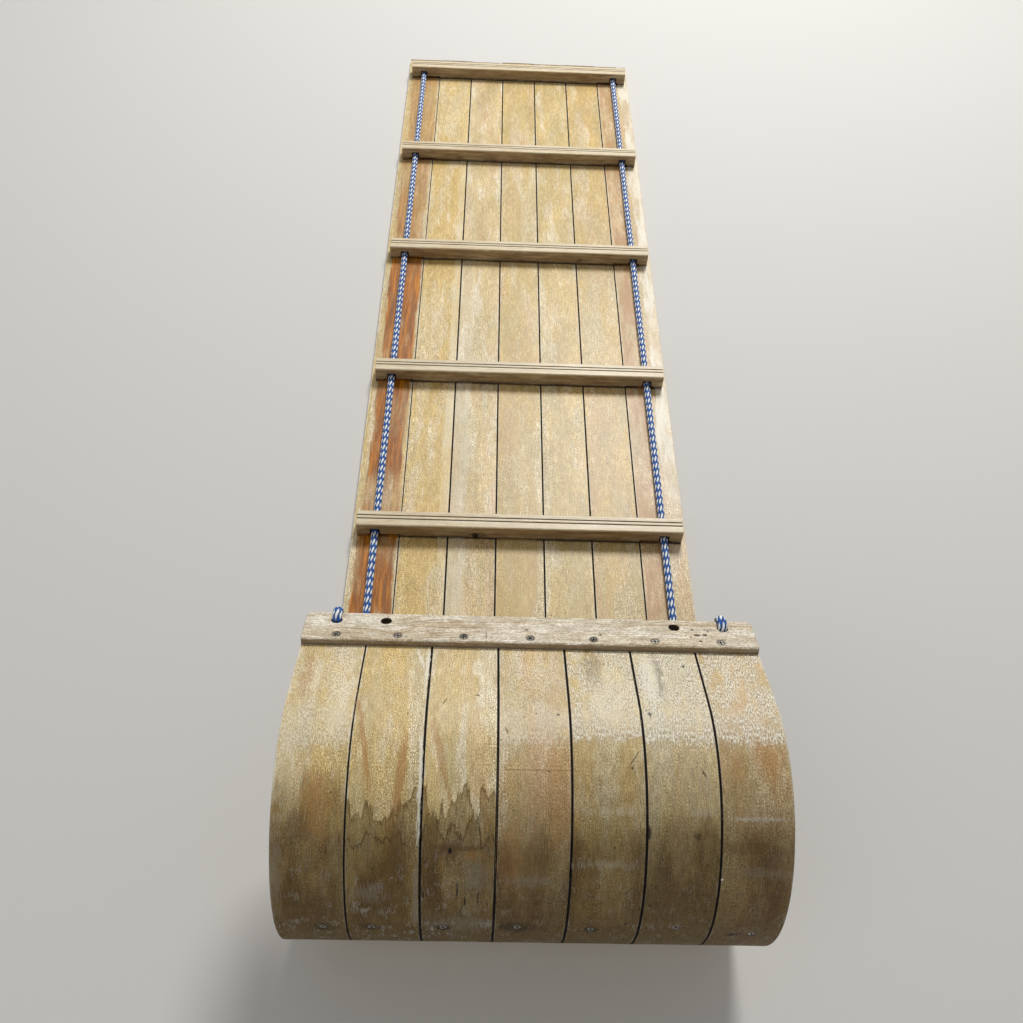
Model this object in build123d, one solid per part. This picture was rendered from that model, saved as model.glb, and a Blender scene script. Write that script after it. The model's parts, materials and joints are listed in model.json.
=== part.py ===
from build123d import *
import math
import os

# Lengths are in millimetres and angles in degrees. X runs across the toboggan, the
# curled nose points along -Y, and the slats' running faces lie on Z = 0.

# Slats: thin boards, flat under the rider and steam-bent up and over at the nose
slat_count = 7
slat_width = 56.5
slat_gap = 1.6
slat_thickness = 7

# Curl, measured on the running face
lower_radius = 134
upper_radius = 114
upper_turn = 112
tip_run = 90.5
bend_lead = 98

# Crossbars
bar_count = 6
bar_spacing = 265
bar_width = 22
bar_height = 21
bar_inset = 6.5
bar_round = 1.5
groove_width = 1.3
groove_depth = 1.2
groove_setbacks = (7, 12)
rear_overhang = 43

# Underside of each bar end: a shallow relief over the outer slat and an arch for the rope
relief_height = 3
end_seat = 12
arch_width = 11
arch_height = 12

# Nose batten, screwed on top of the slat tips
batten_width = 40
batten_thickness = 7
batten_overlap = 22
batten_rear_round = 5
batten_front_round = 2
batten_bevel = 1

# Holes along the batten's rear edge: the outer pair holds the rope, the inner pair is free
hole_diameter = 10
hole_setback = 12
tow_hole_offset = 130

# Cleat inside the front of the curl
cleat_width = 30
cleat_depth = 12
cleat_inset = 10
cleat_bevel = 2

# Side rope
rope_diameter = 9
clearance = 0.3
rear_turn_radius = 16
front_turn_radius = 16
lean_radius = 45
bight_radius = 7.6
tail_radius = 18
tail_start = 8
hitch_drop = 27
hitch_turns = 2
standing_lead = 62

# Derived sizes
slat_pitch = slat_width + slat_gap
deck_width = slat_count * slat_pitch - slat_gap
bars_run = (bar_count - 1) * bar_spacing + bar_width
overall_length = lower_radius + bend_lead + bars_run + rear_overhang
nose_y = -overall_length / 2
rear_y = overall_length / 2
bend_y = nose_y + lower_radius
front_bar_y = bend_y + bend_lead
rope_x = (slat_count - 1) / 2 * slat_pitch
rope_radius = rope_diameter / 2
rope_z = slat_thickness + clearance + rope_radius


def curl_path(inset):
    """Side profile of a slat at a depth below its running face, from the tail to the tip."""
    flat = Line((rear_y, inset), (bend_y, inset))
    lower = JernArc(flat @ 1, flat % 1, lower_radius - inset, -90)
    upper = JernArc(lower @ 1, lower % 1, upper_radius - inset, -upper_turn)
    tip = Line(upper @ 1, upper @ 1 + tip_run * (upper % 1))
    return [flat, lower, upper, tip]


def slat(center_x):
    """One bent board: the side profile carried across the board's width."""
    running = curl_path(0)
    riding = curl_path(slat_thickness)
    ends = [Line(running[0] @ 0, riding[0] @ 0), Line(running[-1] @ 1, riding[-1] @ 1)]
    side = Plane.YZ * make_face(running + riding + ends)
    return Pos(center_x, 0, 0) * extrude(side, slat_width / 2, both=True)


def crossbar(front_y):
    """A bar with eased top edges and two grooves, cut below for the seats and the rope."""
    half = deck_width / 2 - bar_inset
    section = Rectangle(bar_width, bar_height, align=(Align.MIN, Align.MIN))
    section = fillet(section.vertices().group_by(Axis.Y)[-1], bar_round)
    for setback in groove_setbacks:
        section -= Pos(bar_width - setback, bar_height) * Rectangle(groove_width, 2 * groove_depth)
    bar = extrude(Plane.YZ * section, half, both=True)

    relief_inner = rope_x - slat_pitch / 2
    relief_outer = half - end_seat
    for side in (-1, 1):
        relief = Box(relief_outer - relief_inner, bar_width, relief_height,
                     align=(Align.CENTER, Align.MIN, Align.MIN))
        bar -= Pos(side * (relief_inner + relief_outer) / 2, 0, 0) * relief
        arch = Rectangle(arch_width, arch_height, align=(Align.CENTER, Align.MIN))
        arch = fillet(arch.vertices().group_by(Axis.Y)[-1], arch_width / 2 - clearance / 2)
        bar -= extrude(Pos(side * rope_x, 0, 0) * (Plane.XZ * arch), -bar_width)
    return Pos(0, front_y, slat_thickness) * bar


# The slat tips slope down towards the rear. batten_plane lies on their upper face with its
# origin at the batten's rear edge, its Y down the slope and its Z square to it, upwards.
tip = curl_path(0)[-1]
slope = tip % 1
batten_edge = tip @ 1 + (batten_width - batten_overlap) * slope
batten_plane = Plane(origin=(0, batten_edge.X, batten_edge.Y), x_dir=(1, 0, 0),
                     z_dir=(0, -slope.Y, slope.X))


def nose_batten():
    """A flat strip across the slat tips, pierced along its overhanging rear edge."""
    outline = Rectangle(deck_width, batten_width, align=(Align.CENTER, Align.MAX))
    outline = fillet(outline.vertices().group_by(Axis.Y)[-1], batten_rear_round)
    outline = fillet(outline.vertices().group_by(Axis.Y)[0], batten_front_round)
    strip = extrude(outline, batten_thickness)
    strip = chamfer(strip.faces().sort_by(Axis.Z)[-1].edges(), batten_bevel)
    for x in (-rope_x, -tow_hole_offset, tow_hole_offset, rope_x):
        strip -= Pos(x, -hole_setback, 0) * Cylinder(
            hole_diameter / 2, batten_thickness, align=(Align.CENTER, Align.CENTER, Align.MIN))
    return batten_plane * strip


def front_cleat():
    """A strip inside the curl, shaped to the bend in front and flat behind."""
    inside_radius = upper_radius - slat_thickness
    bend = Pos(nose_y + upper_radius, lower_radius) * Circle(inside_radius - clearance)
    fall_away = inside_radius - math.sqrt(inside_radius ** 2 - cleat_width ** 2)
    blank = Rectangle(cleat_depth + fall_away, cleat_width, align=(Align.MIN, Align.MIN))
    blank = chamfer(blank.vertices().group_by(Axis.X)[-1], cleat_bevel)
    section = Pos(nose_y + slat_thickness, lower_radius) * blank & bend
    return extrude(Plane.YZ * section, deck_width / 2 - cleat_inset, both=True)


def on_batten(x, along, above):
    """A point by its distance back from the rope hole's axis and above the batten's underside."""
    return batten_plane.from_local_coords((x, along - hole_setback, above))


# The rope is one piece: hitched at the left of the nose, back under every bar, across
# behind the last one, and forward again to the right of the nose.
tail_along = hole_setback + rope_radius + clearance
hitch_along = rope_diameter + clearance
tail_lean = math.atan2(tail_along - hitch_along, hitch_drop - tail_start)
tail_drop = hitch_drop - clearance - rope_radius * math.sin(tail_lean)
rear_rope_y = front_bar_y + bars_run + rear_turn_radius
front_rope_y = front_bar_y - front_turn_radius


def nose_route(x):
    """Corners and radii from the rope's tail, over the batten's edge and down to the deck."""
    top = batten_thickness + bight_radius
    return [
        (on_batten(x, hitch_along, -tail_drop), None),
        (on_batten(x, tail_along, -tail_start), tail_radius),
        (on_batten(x, tail_along, top), bight_radius),
        (on_batten(x, 0, top), bight_radius),
        (on_batten(x, 0, -standing_lead), lean_radius),
        (Vector(x, front_rope_y, rope_z), front_turn_radius),
        (Vector(x, rear_rope_y, rope_z), rear_turn_radius),
    ]


def side_rope():
    """The rope's tube along its whole route."""
    left = nose_route(-rope_x)
    right = nose_route(rope_x)
    route = left + right[::-1]
    points = [point for point, radius in route]
    radii = [radius for point, radius in route if radius]
    path = FilletPolyline(*points, radius=radii)
    tube = sweep(Plane(origin=path @ 0, z_dir=path % 0) * Circle(rope_radius), path=path)
    expected = math.pi * rope_radius ** 2 * path.length
    print("rope radii", radii)
    print("rope length", round(path.length, 1), "volume ratio", round(tube.volume / expected, 5))
    return tube


def hitch(x):
    """The rope's tail wound round its own standing part, drawn as one collar."""
    inner = rope_radius + clearance
    turned = hitch_turns * rope_diameter
    collar = Cylinder(inner + rope_diameter, turned, align=(Align.CENTER, Align.CENTER, Align.MAX))
    collar -= Cylinder(inner, turned, align=(Align.CENTER, Align.CENTER, Align.MAX))
    return batten_plane * (Pos(x, -hole_setback, -hitch_drop) * collar)


pieces = {"nose_batten": nose_batten(), "front_cleat": front_cleat(), "side_rope": side_rope(),
          "hitch_left": hitch(-rope_x), "hitch_right": hitch(rope_x)}
for number in range(1, slat_count + 1):
    pieces[f"slat_{number}"] = slat((number - (slat_count + 1) / 2) * slat_pitch)
for number in range(1, bar_count + 1):
    pieces[f"crossbar_{number}"] = crossbar(front_bar_y + (number - 1) * bar_spacing)

os.makedirs("parts", exist_ok=True)
for name, piece in pieces.items():
    piece.label = name
    export_step(piece, f"parts/{name}.step")
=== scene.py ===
import bpy
import bmesh
import json
import math
from mathutils import Matrix, Vector


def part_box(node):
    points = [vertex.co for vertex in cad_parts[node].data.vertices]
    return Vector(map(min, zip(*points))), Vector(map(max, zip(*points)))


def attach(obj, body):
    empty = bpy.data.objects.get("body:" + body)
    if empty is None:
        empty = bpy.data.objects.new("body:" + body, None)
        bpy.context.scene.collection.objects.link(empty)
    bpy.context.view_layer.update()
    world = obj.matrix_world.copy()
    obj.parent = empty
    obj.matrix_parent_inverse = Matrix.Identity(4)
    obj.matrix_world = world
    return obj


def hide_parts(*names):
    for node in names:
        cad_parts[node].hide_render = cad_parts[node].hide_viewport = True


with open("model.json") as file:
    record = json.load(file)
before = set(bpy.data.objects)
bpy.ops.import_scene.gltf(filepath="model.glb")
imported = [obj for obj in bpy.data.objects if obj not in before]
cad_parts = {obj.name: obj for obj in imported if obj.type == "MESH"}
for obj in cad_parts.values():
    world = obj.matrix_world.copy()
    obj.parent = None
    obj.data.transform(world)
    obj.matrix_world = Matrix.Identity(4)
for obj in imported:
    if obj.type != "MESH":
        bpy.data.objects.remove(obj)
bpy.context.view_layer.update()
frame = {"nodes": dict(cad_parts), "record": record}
scene = bpy.context.scene

# Metres and radians throughout. X runs across the toboggan, the curled nose points along -Y
# and the slats' running faces lie on Z = 0.


# Helpers for node trees

class Wire:
    # a value in a node tree, so that a formula reads as one
    def __init__(self, socket):
        self.socket = socket
        self.tree = socket.id_data

    def math(self, operation, *others):
        node = self.tree.nodes.new("ShaderNodeMath")
        node.operation = operation
        for socket, value in zip(node.inputs, (self, *others)):
            feed(socket, value)
        return Wire(node.outputs[0])

    def __add__(self, other):
        return self.math("ADD", other)

    def __radd__(self, other):
        return self.math("ADD", other)

    def __sub__(self, other):
        return self.math("SUBTRACT", other)

    def __rsub__(self, other):
        return self.math("MULTIPLY_ADD", -1.0, other)

    def __mul__(self, other):
        return self.math("MULTIPLY", other)

    def __truediv__(self, other):
        return self.math("DIVIDE", other)

    def sin(self):
        return self.math("SINE")

    def cos(self):
        return self.math("COSINE")

    def abs(self):
        return self.math("ABSOLUTE")

    def between(self, low, high):
        return self.math("MAXIMUM", low).math("MINIMUM", high)

    def ramp(self, start, end, low=0.0, high=1.0):
        # eases from low at start to high at end
        values = {"Value": self, "From Min": start, "From Max": end, "To Min": low, "To Max": high}
        return Wire(put(self.tree, "ShaderNodeMapRange", values, interpolation_type="SMOOTHSTEP").outputs[0])


def feed(socket, value):
    # a socket takes a Wire, a node's first output, another socket or a plain value
    if isinstance(value, bpy.types.Node):
        value = value.outputs[0]
    if isinstance(value, Wire):
        value = value.socket
    if isinstance(value, bpy.types.NodeSocket):
        socket.id_data.links.new(value, socket)
    else:
        socket.default_value = value


def put(tree, kind, values=None, **settings):
    # one node, with its inputs by name or number
    node = tree.nodes.new(kind)
    for name, value in settings.items():
        setattr(node, name, value)
    for key, value in (values or {}).items():
        feed(node.inputs[key], value)
    return node


def shape(tree, kind, values=None, **settings):
    return put(tree, "GeometryNode" + kind, values, **settings)


def newTree(name, kind, takes, gives):
    # A node group, kind Geometry or Shader. takes holds each input's default, or its kind of
    # socket where it needs none, and gives holds each output's kind.
    tree = bpy.data.node_groups.new(name, kind + "NodeTree")
    kinds = {float: "Float", int: "Int", bool: "Bool", tuple: "Vector"}
    for label, default in takes.items():
        socketKind = default if isinstance(default, str) else kinds[type(default)]
        socket = tree.interface.new_socket(label, in_out="INPUT", socket_type="NodeSocket" + socketKind)
        if not isinstance(default, str):
            socket.default_value = default
    for label, socketKind in gives.items():
        tree.interface.new_socket(label, in_out="OUTPUT", socket_type="NodeSocket" + socketKind)
    given = tree.nodes.new("NodeGroupInput").outputs
    result = tree.nodes.new("NodeGroupOutput").inputs
    return tree, {label: Wire(given[label]) for label in takes}, result


def useGroup(tree, group, values):
    node = put(tree, group.bl_idname.replace("NodeTree", "NodeGroup"), node_tree=group)
    for name, value in values.items():
        feed(node.inputs[name], value)
    return {socket.name: Wire(socket) for socket in node.outputs}


def splitVector(tree, vector):
    return [Wire(socket) for socket in put(tree, "ShaderNodeSeparateXYZ", {0: vector}).outputs]


def joinVector(tree, x, y, z):
    return put(tree, "ShaderNodeCombineXYZ", {0: x, 1: y, 2: z})


def vectorMath(tree, operation, *vectors):
    return put(tree, "ShaderNodeVectorMath", dict(enumerate(vectors)), operation=operation)


def distance(tree, vector):
    return Wire(vectorMath(tree, "LENGTH", vector).outputs["Value"])


def noise(tree, vector, scale=1.0, detail=2.0, roughness=0.5):
    values = {"Vector": vector, "Scale": scale, "Detail": detail, "Roughness": roughness}
    return Wire(put(tree, "ShaderNodeTexNoise", values).outputs[0])


def keep(tree, geometry, name, value, kind="FLOAT_VECTOR", domain="POINT"):
    # stores an attribute for the materials
    values = {"Geometry": geometry, "Name": name}
    node = shape(tree, "StoreNamedAttribute", values, data_type=kind, domain=domain)
    feed(node.inputs["Value"], value)
    return node


def closeTree(tree, result, geometry, material):
    whole = shape(tree, "RealizeInstances", {"Geometry": geometry})
    feed(result["Geometry"], shape(tree, "SetMaterial", {"Geometry": whole, "Material": material}))
    return tree


def plainMesh(name, host):
    # what the host's modifiers make of it, as an object of its own
    ready = host.evaluated_get(bpy.context.evaluated_depsgraph_get())
    piece = bpy.data.objects.new(name, bpy.data.meshes.new_from_object(ready))
    scene.collection.objects.link(piece)
    bpy.data.objects.remove(host)
    return piece


def grow(name, group, values, source=None, tidyNormals=False):
    # runs a geometry node group on a source or on nothing, and keeps the result as a plain mesh
    host = source or bpy.data.objects.new(name + "Host", bpy.data.meshes.new(name))
    scene.collection.objects.link(host)
    modifier = host.modifiers.new("shape", "NODES")
    modifier.node_group = group
    for item in group.interface.items_tree:
        if item.item_type == "SOCKET" and item.in_out == "INPUT" and item.name in values:
            modifier[item.identifier] = values[item.name]
    if tidyNormals:
        host.modifiers.new("normals", "WEIGHTED_NORMAL")
    return plainMesh(name, host)


def finishPiece(piece, slot=None, *nodes):
    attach(piece, "root")
    if nodes:
        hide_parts(*nodes)
    print("made", piece.name, len(piece.data.polygons), "faces")


# Geometry shared by the slats and the screws in them

slats = {
    "count": 7,
    "thickness": 0.007,
    "lowerRadius": 0.134,      # of the running face, from the flat up to the nose
    "upperRadius": 0.114,      # from the nose up and over
    "upperTurn": math.radians(112),
    "tipRun": 0.0905,
    "width": 0.0579,           # a little wider than in the CAD, for joints as fine as the real ones
    "edgeRound": 0.0007,
    "step": 0.006,             # length of a face along the board
    "warp": 0.00014,
    "cup": 0.00018,
}

slatLow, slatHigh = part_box("slat_1")
slats["pitch"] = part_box("slat_2")[0].x - slatLow.x
slats["bendY"] = slatLow.y + slats["lowerRadius"]
slats["deckLength"] = slatHigh.y - slats["bendY"]
slats["curlLength"] = (slats["lowerRadius"] * math.pi / 2 + slats["upperRadius"] * slats["upperTurn"]
                       + slats["tipRun"])

barLow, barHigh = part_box("crossbar_1")
bars = {"count": 6, "firstFront": barLow.y, "width": barHigh.y - barLow.y,
        "spacing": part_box("crossbar_2")[0].y - barLow.y}

bendTakes = {"Bend Y": slats["bendY"], "Lower Radius": slats["lowerRadius"],
             "Upper Radius": slats["upperRadius"], "Upper Turn": slats["upperTurn"]}


def bendGroup():
    # A straight board lies along Y with the bend at Y = 0, and is bent up over the nose.
    # Z is 0 on its running face.
    takes = {"Straight": "Vector", **bendTakes}
    tree, given, result = newTree("bendOverNose", "Geometry", takes, {"Bent": "Vector"})
    across, along, depth = splitVector(tree, given["Straight"])
    lower, upper, fullTurn = given["Lower Radius"], given["Upper Radius"], given["Upper Turn"]
    quarter = math.pi / 2
    deckRun = (0.0 - along).math("MAXIMUM", 0.0)
    lowTurn = (along / lower).between(0.0, quarter)
    pastNose = along - lower * quarter
    highTurn = (pastNose / upper).between(0.0, fullTurn)
    tipRun = (pastNose - upper * fullTurn).math("MAXIMUM", 0.0)
    turned = lowTurn + highTurn
    y = (given["Bend Y"] + deckRun - lower * lowTurn.sin() + upper * (1.0 - highTurn.cos())
         + tipRun * fullTurn.sin() + depth * turned.sin())
    z = (lower * (1.0 - lowTurn.cos()) + upper * highTurn.sin() + tipRun * fullTurn.cos()
         + depth * turned.cos())
    feed(result["Bent"], joinVector(tree, across, y, z))
    return tree


bendOverNose = bendGroup()


def putOnSled(tree, given, geometry, lift):
    # brings what was made on the straight board to its slat's place, and bends it
    across, along, depth = splitVector(tree, shape(tree, "InputPosition"))
    onDeck = (0.0 - along).ramp(0.0, 0.12)
    aside = across + onDeck * given["Deck Shift"] + given["Center X"]
    straight = joinVector(tree, aside, along, depth + lift)
    values = {"Straight": straight, **{label: given[label] for label in bendTakes}}
    bent = useGroup(tree, bendOverNose, values)["Bent"]
    return shape(tree, "SetPosition", {"Geometry": geometry, "Position": bent})


# Screws, from below through each slat into the bars, and one through its nose into the cleat

screws = {
    "headRadius": 0.0034,
    "headDepth": 0.0024,
    "shankRadius": 0.0018,
    "slotLength": 0.0044,
    "slotWidth": 0.0012,
    "slotDepth": 0.0013,
    "seatRadius": 0.0037,      # the countersunk seat is a little wider and deeper than the head
    "seatDepth": 0.0034,
    "seatDrop": 0.0001,
    "around": 28,              # faces round a head
    "sunk": 0.00035,
    "wander": 0.006,           # how far a deck screw strays from the middle of its slat
    "barSetback": 0.011,
}

# where the screws through the curl's front are, from the slat's middle and along it
noseScrews = {1: (0.0093, 0.224), 2: (-0.0098, 0.225), 3: (-0.0109, 0.226), 4: (-0.010, 0.228),
              5: (-0.0091, 0.226), 6: (0.0008, 0.231), 7: (0.0057, 0.222)}

placeTakes = {"First": slats["bendY"] - bars["firstFront"] - screws["barSetback"],
              "Spacing": bars["spacing"], "Count": bars["count"], "Wander": screws["wander"],
              "Nose": "Vector", "Seed": 1}


def screwPlacesGroup():
    # points on the straight board's running face, one under each bar and one at the nose
    tree, given, result = newTree("screwPlaces", "Geometry", placeTakes, {"Points": "Geometry"})
    line = shape(tree, "MeshLine", {
        "Count": given["Count"], "Start Location": joinVector(tree, 0.0, given["First"], 0.0),
        "Offset": joinVector(tree, 0.0, given["Spacing"] * -1.0, 0.0)})
    wander = given["Wander"]
    random = put(tree, "FunctionNodeRandomValue", {2: wander * -1.0, 3: wander, "Seed": given["Seed"]})
    stray = Wire(random.outputs[1])
    offset = joinVector(tree, stray, stray * 0.3, 0.0)
    strayed = shape(tree, "SetPosition", {"Geometry": line, "Offset": offset})
    nose = shape(tree, "MeshLine", {"Count": 1, "Start Location": given["Nose"]})
    joined = shape(tree, "JoinGeometry")
    for points in (strayed, nose):
        feed(joined.inputs[0], points)
    feed(result["Points"], joined)
    return tree


def screwHeadGroup():
    # a countersunk head facing down, its face on Z = 0, with a cross recess
    takes = {"Head Radius": screws["headRadius"], "Shank Radius": screws["shankRadius"],
             "Head Depth": screws["headDepth"], "Slot Length": screws["slotLength"],
             "Slot Width": screws["slotWidth"], "Slot Depth": screws["slotDepth"]}
    tree, given, result = newTree("screwHead", "Geometry", takes, {"Mesh": "Geometry"})
    head = shape(tree, "MeshCone", {
        "Vertices": screws["around"], "Radius Top": given["Shank Radius"],
        "Radius Bottom": given["Head Radius"], "Depth": given["Head Depth"]})
    cut = shape(tree, "MeshBoolean", {"Mesh 1": head}, solver="EXACT")
    size = joinVector(tree, given["Slot Length"], given["Slot Width"], given["Slot Depth"] * 2.0)
    for turn in (0.0, math.pi / 2):
        arm = shape(tree, "MeshCube", {"Size": size})
        turned = shape(tree, "Transform", {"Geometry": arm, "Rotation": (0.0, 0.0, turn)})
        feed(cut.inputs["Mesh 2"], turned)
    feed(result["Mesh"], keep(tree, cut, "head", shape(tree, "InputPosition")))
    return tree


screwPlaces = screwPlacesGroup()
screwHead = screwHeadGroup()


def scatterHeads(tree, points, seed):
    # a head on each point, each turned its own way
    turn = put(tree, "FunctionNodeRandomValue",
               {0: (0.0, 0.0, 0.0), 1: (0.0, 0.0, math.pi / 2), "Seed": seed}, data_type="FLOAT_VECTOR")
    head = useGroup(tree, screwHead, {})["Mesh"]
    return shape(tree, "InstanceOnPoints", {"Points": points, "Instance": head, "Rotation": turn.outputs[0]})


def scatterSeats(tree, points, drop):
    # the cones that cut the heads' seats
    cone = shape(tree, "MeshCone", {
        "Vertices": screws["around"], "Radius Top": screws["shankRadius"],
        "Radius Bottom": screws["seatRadius"], "Depth": screws["seatDepth"]})
    lowered = shape(tree, "Transform", {"Geometry": cone, "Translation": (0.0, 0.0, -drop)})
    return shape(tree, "InstanceOnPoints", {"Points": points, "Instance": lowered})


def screwsOf(number):
    across, along = noseScrews[number]
    return {"Nose": (across, along, 0.0), "Seed": number}


# Slats

# trim shortens the tail, narrow and inset keep the outer slats inside the deck's width, and
# shift moves the deck sideways so that the joints differ in width
slatFits = {
    1: {"trim": 0.0012, "narrow": 0.00085, "inset": 0.00042, "shift": 0.0},
    2: {"trim": 0.0004, "narrow": 0.0, "inset": 0.0, "shift": -0.00008},
    3: {"trim": 0.0021, "narrow": -0.00003, "inset": 0.0, "shift": -0.00004},
    4: {"trim": 0.0, "narrow": -0.00003, "inset": 0.0, "shift": 0.0},
    5: {"trim": 0.0014, "narrow": 0.0, "inset": 0.0, "shift": 0.00004},
    6: {"trim": 0.0006, "narrow": 0.0, "inset": 0.0, "shift": 0.00008},
    7: {"trim": 0.0018, "narrow": 0.00085, "inset": -0.00042, "shift": 0.0},
}


def slatWidth(number):
    return slats["width"] - slatFits[number]["narrow"]


def slatMiddle(number):
    return (number - (slats["count"] + 1) / 2) * slats["pitch"] + slatFits[number]["inset"]


def slatGroup():
    takes = {"Width": slats["width"], "Thickness": slats["thickness"], "Edge Round": slats["edgeRound"],
             "Step": slats["step"], "Deck Length": slats["deckLength"], "Curl Length": slats["curlLength"],
             "Center X": 0.0, "Deck Shift": 0.0, "Warp": slats["warp"], "Cup": slats["cup"],
             "Material": "Material", **placeTakes, **bendTakes}
    tree, given, result = newTree("bentSlat", "Geometry", takes, {"Geometry": "Geometry"})

    # the section: a rectangle with rounded corners and a few points along each side
    quad = shape(tree, "CurvePrimitiveQuadrilateral", {"Width": given["Width"], "Height": given["Thickness"]})
    cuts = shape(tree, "SubdivideCurve", {"Curve": quad, "Cuts": 4})
    sideways, upright, flat = splitVector(tree, shape(tree, "InputPosition"))
    nearCorner = 0.00001
    atEnd = sideways.abs().math("GREATER_THAN", given["Width"] * 0.5 - nearCorner)
    atFace = upright.abs().math("GREATER_THAN", given["Thickness"] * 0.5 - nearCorner)
    radius = atEnd * atFace * given["Edge Round"]
    section = shape(tree, "FilletCurve", {"Curve": cuts, "Count": 3, "Radius": radius}, mode="POLY")

    # the straight board, lifted so that its running face is on Z = 0
    line = shape(tree, "CurvePrimitiveLine", {
        "Start": joinVector(tree, 0.0, given["Deck Length"] * -1.0, 0.0),
        "End": joinVector(tree, 0.0, given["Curl Length"], 0.0)})
    stepped = shape(tree, "ResampleCurve", {"Curve": line, "Length": given["Step"]}, mode="LENGTH")
    upwards = shape(tree, "SetCurveNormal", {"Curve": stepped}, mode="Z_UP")
    blank = shape(tree, "CurveToMesh", {"Curve": upwards, "Profile Curve": section, "Fill Caps": True})
    lift = joinVector(tree, 0.0, 0.0, given["Thickness"] * 0.5)
    board = shape(tree, "Transform", {"Geometry": blank, "Translation": lift})

    # countersunk seats for the screws, cut while the board is straight
    places = useGroup(tree, screwPlaces, {label: given[label] for label in placeTakes})["Points"]
    cutters = shape(tree, "RealizeInstances", {"Geometry": scatterSeats(tree, places, screws["seatDrop"])})
    drilled = shape(tree, "MeshBoolean", {"Mesh 1": board, "Mesh 2": cutters}, solver="EXACT")

    # the grain follows the straight board, so its coordinates are kept before the bend
    straight = shape(tree, "InputPosition")
    kept = keep(tree, drilled, "board", straight)

    # a slight cup and warp
    across, along, depth = splitVector(tree, straight)
    cupped = (across / (given["Width"] * 0.5)).math("POWER", 2.0) * given["Cup"]
    sample = joinVector(tree, across * 10.0 + given["Seed"] * 7.3, along * 22.0, 0.0)
    warped = (noise(tree, sample, detail=1.0) - 0.5) * given["Warp"] * 2.0
    smooth = shape(tree, "SetShadeSmooth", {"Geometry": putOnSled(tree, given, kept, warped - cupped)})
    return closeTree(tree, result, smooth, given["Material"])


# Colours are written as they look, from 0 to 255

woodTones = {
    "straw": (218, 198, 148), "honey": (200, 168, 104), "blush": (204, 172, 128),
    "wheat": (219, 198, 142), "butter": (232, 200, 128), "cream": (240, 226, 190),
    "bleached": (231, 220, 193), "chalk": (248, 241, 222), "silver": (212, 204, 190),
    "slate": (148, 138, 122), "amber": (176, 122, 62), "heart": (166, 98, 8),
    "umber": (106, 76, 42), "grimeAndShade": (40, 30, 20),
}


def linear(colour):
    # Blender's linear colour for a named or a written one; a socket stays as it is
    if isinstance(colour, str):
        colour = woodTones[colour]
    if not isinstance(colour, tuple):
        return colour
    parts = [((part / 255 + 0.055) / 1.055) ** 2.4 if part > 10 else part / 255 / 12.92 for part in colour]
    return (*parts, 1.0)


def blend(tree, factor, first, second, mode="MIX"):
    values = {0: factor, 6: linear(first), 7: linear(second)}
    return Wire(put(tree, "ShaderNodeMix", values, data_type="RGBA", blend_type=mode).outputs[2])


def toneShiftGroup():
    # darker below 0 and paler above: Shade nearly keeps the hue, Stain turns it browner
    takes = {"Colour": "Color", "Shade": 0.0, "Stain": 0.0}
    tree, given, result = newTree("toneShift", "Shader", takes, {"Colour": "Color"})
    shade, stain = given["Shade"], given["Stain"]
    parts = (shade * 0.86 + stain * 0.86, shade + stain, shade * 1.2 + stain * 1.32)
    factor = joinVector(tree, *(part.math("EXPONENT") for part in parts))
    feed(result["Colour"], blend(tree, 1.0, given["Colour"], factor, "MULTIPLY"))
    return tree


toneShift = toneShiftGroup()


class Paint:
    # a colour that is built up step by step
    def __init__(self, tree, colour):
        self.tree = tree
        self.colour = colour

    def over(self, mask, colour):
        self.colour = blend(self.tree, mask, self.colour, colour)

    def shade(self, shade, stain=0.0):
        values = {"Colour": self.colour, "Shade": shade, "Stain": stain}
        self.colour = useGroup(self.tree, toneShift, values)["Colour"]


def newMaterial(name, constants):
    # the shader, with the values that are the same all over its surface
    material = bpy.data.materials.new(name)
    material.use_nodes = True
    shader = material.node_tree.nodes["Principled BSDF"]
    for socket, value in constants.items():
        shader.inputs[socket].default_value = value
    return material, material.node_tree, shader


def finishShader(shader, values, height, depth, strength):
    tree = shader.id_data
    for label, value in values.items():
        feed(shader.inputs[label], value)
    bump = put(tree, "ShaderNodeBump", {"Height": height, "Distance": depth, "Strength": strength})
    feed(shader.inputs["Normal"], bump)


# Looks of the wood. A board's surface is placed in millimetres: across it, along it from the
# bend (more than 0 on the curl) and in its depth.

def boardPlace(tree):
    stored = put(tree, "ShaderNodeAttribute", attribute_name="board").outputs["Vector"]
    return put(tree, "ShaderNodeVectorMath", {0: stored, "Scale": 1000.0}, operation="SCALE")


def grainNoise(board, acrossSize, alongSize, seed, detail=2.0, roughness=0.5):
    # noise whose blots are about this wide and long
    across, along, depth = board
    tree = across.tree
    where = joinVector(tree, across / acrossSize + seed, along / alongSize, depth / acrossSize)
    return noise(tree, where, detail=detail, roughness=roughness)


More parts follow.
